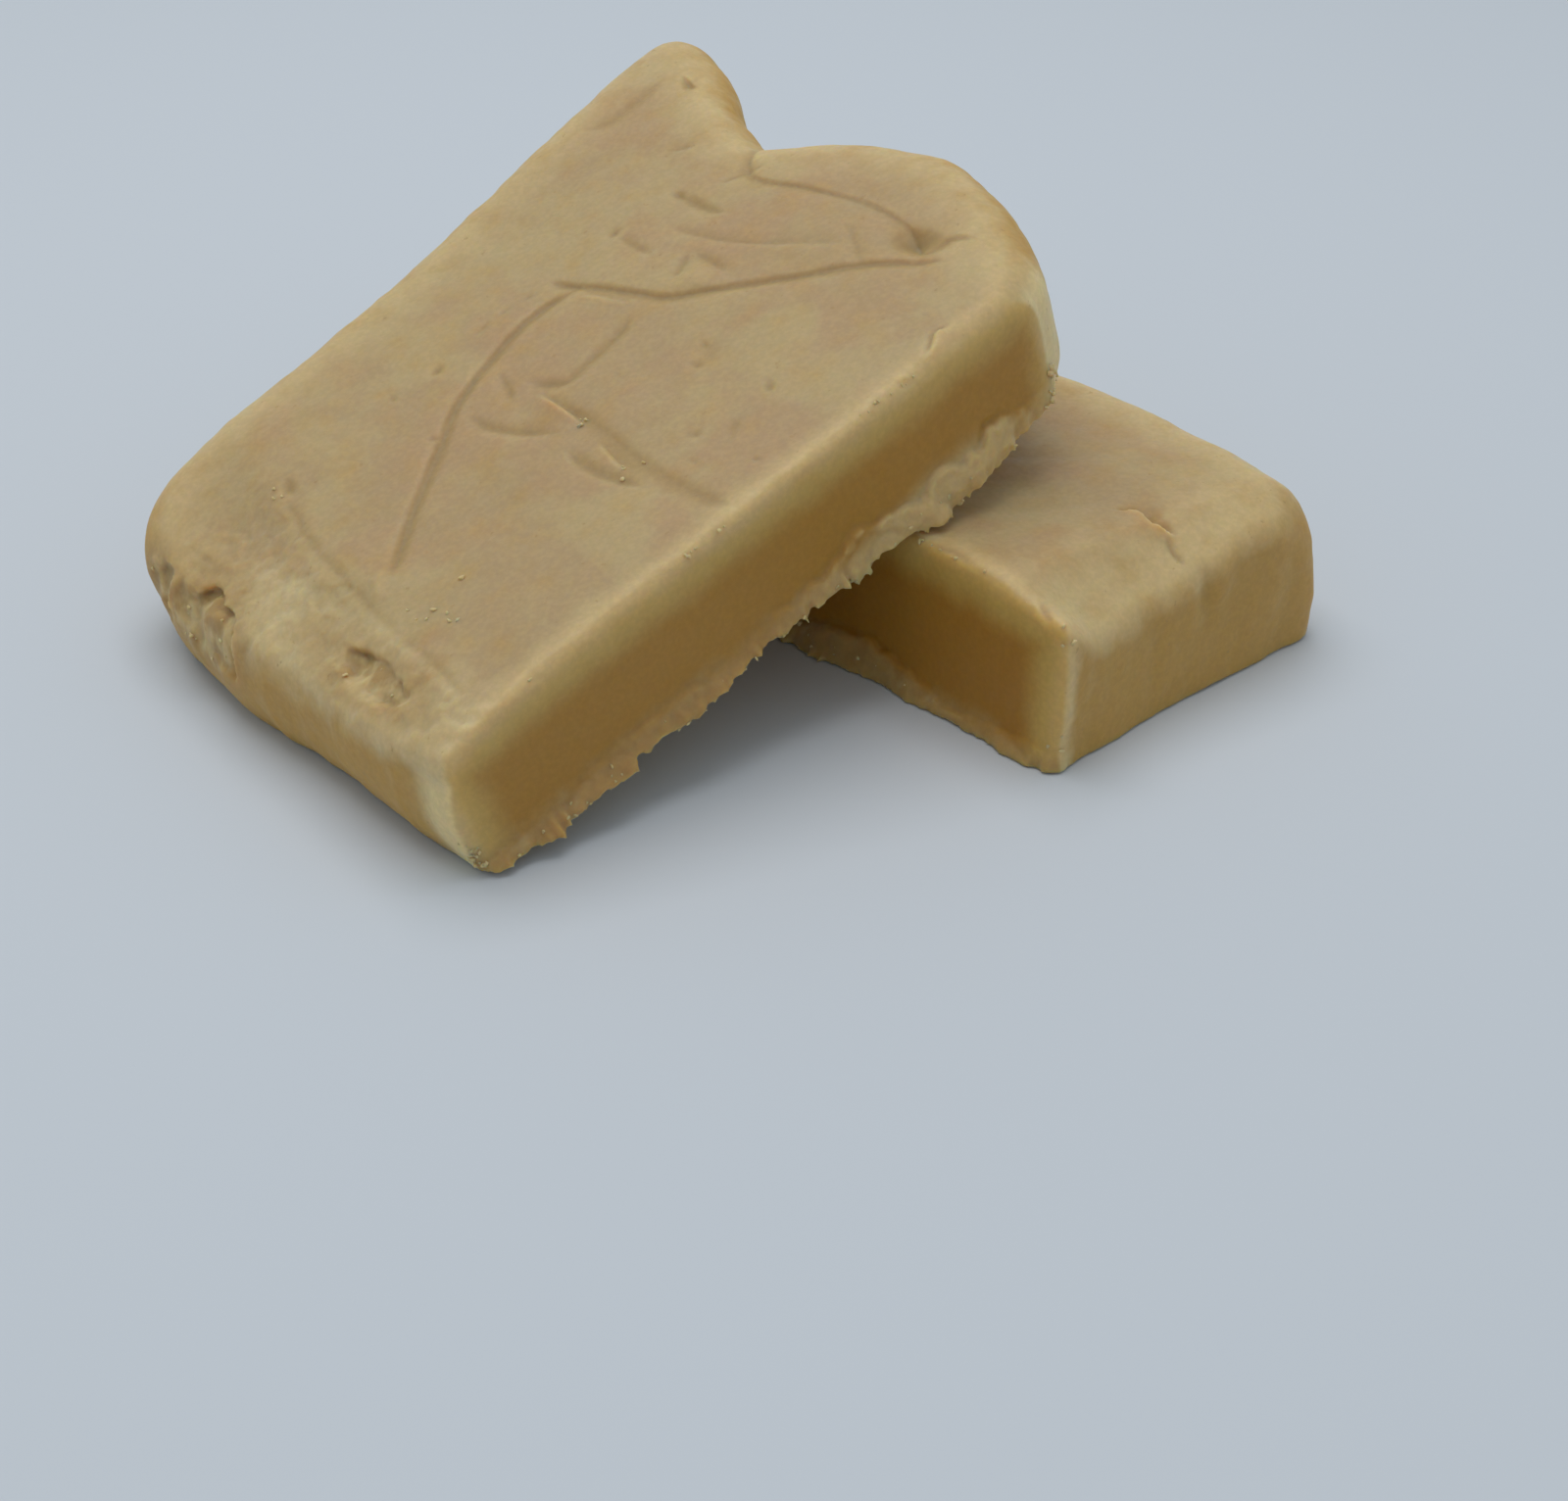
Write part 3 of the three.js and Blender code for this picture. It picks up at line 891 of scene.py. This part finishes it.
def fleck():
    """Dry sugary crumbs, paler than the bar that they stick to."""
    n = Nodes("fudge_crumbs")
    place = n.add("ShaderNodeTexCoord").outputs["Object"]
    colour = n.mix(n.ramp(n.noise(place, 900.0, 2), 0.35, 0.65), FLECK, CREAM)
    n.put(n.shader.inputs["Base Color"], colour)
    n.put(n.shader.inputs["Roughness"], n.ramp(n.noise(place, 2500.0, 2), 0.3, 0.7, 0.40, 0.65))
    n.shader.inputs["Subsurface Weight"].default_value = 0.7
    n.shader.inputs["Subsurface Radius"].default_value = (1.0, 0.6, 0.3)
    n.shader.inputs["Subsurface Scale"].default_value = 0.001
    return n.material


# ---- Stage ----

# The camera in the stack's frame: millimetres and degrees.
CAMERA_EYE = (-115.6, -180.5, 149.9)
CAMERA_TARGET = (38.7, -4.9, 2.7)
CAMERA_ROLL = 0.57
CAMERA_LENS = 56.25
FLOOR_HALF_SIZE = 4.0  # metres, so its edge is far away in low views


def camera(stack_origin):
    eye = Vector(CAMERA_EYE) * MM + stack_origin
    target = Vector(CAMERA_TARGET) * MM + stack_origin
    data = bpy.data.cameras.new("camera")
    data.lens = CAMERA_LENS
    data.sensor_width = 36
    shown = bpy.data.objects.new("camera", data)
    shown.location = eye
    turn = (eye - target).to_track_quat("Z", "Y")
    roll = Matrix.Rotation(math.radians(CAMERA_ROLL), 4, "Z")
    shown.rotation_euler = (turn.to_matrix().to_4x4() @ roll).to_euler()
    data.clip_start = 0.01
    bpy.context.scene.collection.objects.link(shown)
    bpy.context.scene.camera = shown


def area_light(name, place, aim, size, power, colour):
    data = bpy.data.lights.new(name, "AREA")
    data.size = size
    data.energy = power
    data.color = colour
    shown = bpy.data.objects.new(name, data)
    shown.location = place
    shown.rotation_euler = (Vector(place) - Vector(aim)).to_track_quat("Z", "Y").to_euler()
    bpy.context.scene.collection.objects.link(shown)


def floor():
    half = FLOOR_HALF_SIZE
    points = np.array([(-half, -half, 0), (half, -half, 0), (half, half, 0), (-half, half, 0)])
    shown = mesh_object("floor", points, np.array([[0, 1, 2, 3]]))
    n = Nodes("floor")
    n.shader.inputs["Base Color"].default_value = (0.63, 0.66, 0.69, 1)
    n.shader.inputs["Roughness"].default_value = 0.75
    shown.data.materials.append(n.material)


def lights():
    world = bpy.data.worlds.new("studio")
    world.use_nodes = True
    world.node_tree.nodes["Background"].inputs["Color"].default_value = (0.82, 0.92, 1.0, 1)
    world.node_tree.nodes["Background"].inputs["Strength"].default_value = 0.485
    bpy.context.scene.world = world
    area_light("sky_panel", (0.03, 0.15, 0.80), (0, 0, 0.02), 0.7, 3.3, (0.98, 0.98, 1.0))


# ---- Build ----


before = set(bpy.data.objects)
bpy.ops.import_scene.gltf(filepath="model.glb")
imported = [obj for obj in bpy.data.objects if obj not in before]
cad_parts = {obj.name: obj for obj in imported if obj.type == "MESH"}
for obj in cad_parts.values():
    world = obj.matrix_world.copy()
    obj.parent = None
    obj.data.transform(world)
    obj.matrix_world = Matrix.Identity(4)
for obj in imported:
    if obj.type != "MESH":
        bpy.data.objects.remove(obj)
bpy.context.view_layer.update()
lower_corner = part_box("lower_bar")[0]
stack_origin = lower_corner - Vector((LOWER_REACH, -LOWER_OVERHANG, 0)) * MM
camera(stack_origin)

upper_place = Matrix.Translation(stack_origin) @ Matrix.Rotation(-LEAN, 4, "Y")
lower_place = Matrix.Translation(lower_corner)
upper = bar("upper_fudge", upper_field, *UPPER_GRID, upper_place)
lower = bar("lower_fudge", lower_field, *LOWER_GRID, lower_place)
upper_crumbs = crumbs("upper_crumbs", upper, UPPER_CRUMBS, 301, upper_place)
lower_crumbs = crumbs("lower_crumbs", lower, LOWER_CRUMBS, 302, lower_place)
for shown, node, body, look in (
    (upper, "upper_bar", "upper", (BUTTER, CARAMEL, 9.0, 1.0)),
    # The lower bar's cut colours carry painted shade and yellow bounce light.
    (lower, "lower_bar", "lower", (SHADED_BUTTER, SHADED_CARAMEL, 4.0, 0.2)),
):
    shown.data.materials.append(fudge(shown.name, *look))
    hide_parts(node)
    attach(shown, body)
crumb_finish = fleck()
for shown, body in ((upper_crumbs, "upper"), (lower_crumbs, "lower")):
    shown.data.materials.append(crumb_finish)
    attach(shown, body)

floor()
lights()
bpy.context.scene.view_settings.view_transform = "Standard"
